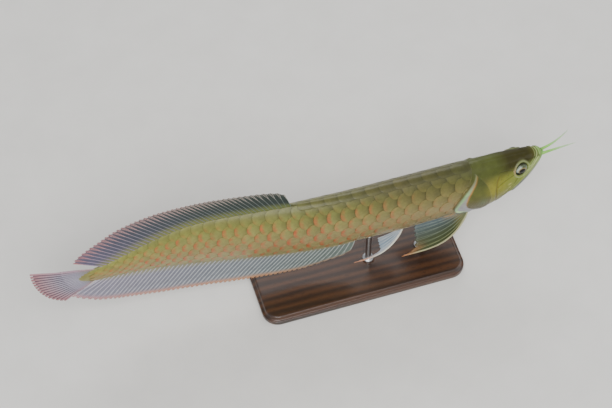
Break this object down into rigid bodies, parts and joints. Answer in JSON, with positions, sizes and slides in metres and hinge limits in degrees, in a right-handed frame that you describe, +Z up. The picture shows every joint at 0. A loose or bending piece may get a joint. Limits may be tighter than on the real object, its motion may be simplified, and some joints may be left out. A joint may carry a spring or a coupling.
{
  "type": "silver arowana",
  "caption": "Long flat-sided freshwater fish with an upturned mouth, chin barbels and long dorsal and anal fins, swimming level on a low rod stand.",
  "frame": {"origin": "middle of the underside of the stand's base, where it rests on the floor", "axes": "+X towards the fish's head, +Y towards its left side, +Z up"},
  "size_m": [0.7446, 0.12, 0.2081],
  "materials": {
    "skin_head": "wet skin, olive on the crown",
    "skin_jaw": "wet skin, pale grey",
    "skin_gill": "wet skin with a pale hind edge",
    "scales": "large tan-gold scales with reddish crescents, wet",
    "eye": "dark pupil in a silver ring under a clear cornea",
    "barbel": "green wet skin",
    "fin": "translucent membrane over paler rays",
    "base": "dark stained hardwood with a satin varnish",
    "rod": "brushed"
  },
  "bodies": {
    "root": {"head": "skin_head", "lower_jaw": "skin_jaw", "gill_cover_left": "skin_gill", "gill_cover_right": "skin_gill", "eye_left": "eye", "eye_right": "eye", "barbel_left": "barbel", "barbel_right": "barbel", "trunk": "scales", "tail": "scales", "dorsal_fin": "fin", "anal_fin": "fin", "caudal_fin": "fin", "pectoral_fin_left": "fin", "pectoral_fin_right": "fin", "pelvic_fin_left": "fin", "pelvic_fin_right": "fin", "stand_base": "base", "stand_rod_front": "rod", "stand_rod_rear": "rod"}
  },
  "joints": []
}
